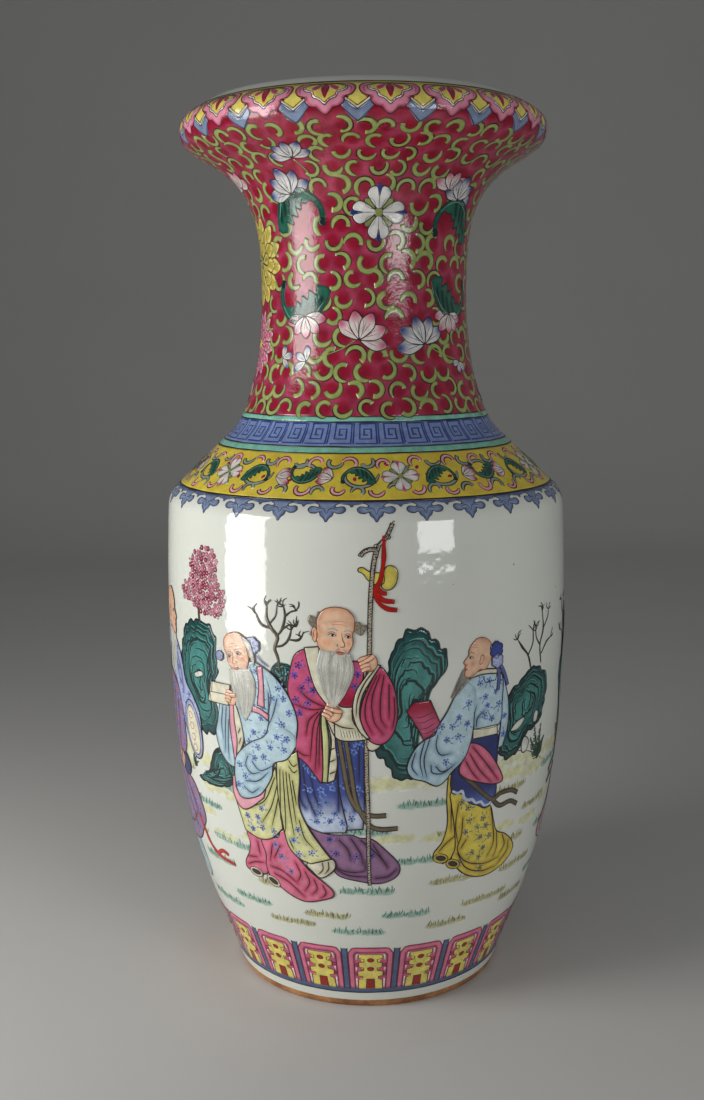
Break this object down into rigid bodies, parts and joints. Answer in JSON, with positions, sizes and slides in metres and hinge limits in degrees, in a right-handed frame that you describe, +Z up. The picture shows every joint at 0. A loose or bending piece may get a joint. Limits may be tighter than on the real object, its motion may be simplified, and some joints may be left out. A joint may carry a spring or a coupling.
{
  "type": "porcelain vase",
  "caption": "Tall baluster vase with an angular shoulder, waisted neck and rolled mouth, thrown in sections luted with slip rings.",
  "frame": {"origin": "centre of the foot's standing face", "axes": "+Z up along the vase's axis of rotation; -Y faces the front of the painted scene"},
  "size_m": [0.2704, 0.2704, 0.58],
  "materials": {
    "white_glaze": "clear glaze over white porcelain, glossy, faintly green",
    "yellow_enamel": "opaque lemon-yellow overglaze enamel, glossy",
    "ruby_enamel": "ruby-pink overglaze enamel, glossy and a little mottled",
    "blue_enamel": "blue overglaze enamel, glossy",
    "green_enamel": "green and turquoise overglaze enamels, glossy",
    "painted_enamels": "mixed overglaze enamels of the painted figures, rocks and flowers",
    "outline_black": "fine brown-black painted outlines",
    "biscuit": "unglazed porcelain biscuit, matt, tanned at the edge",
    "slip": "fired slip, matt"
  },
  "bodies": {
    "root": {"base_slab": "biscuit", "lower_body": "white_glaze", "upper_body": "white_glaze", "shoulder": "yellow_enamel", "neck": "ruby_enamel", "mouth": "ruby_enamel", "base_slip_ring": "slip", "belly_slip_ring": "slip", "shoulder_slip_ring": "slip", "neck_slip_ring": "slip", "mouth_slip_ring": "slip"}
  },
  "joints": []
}
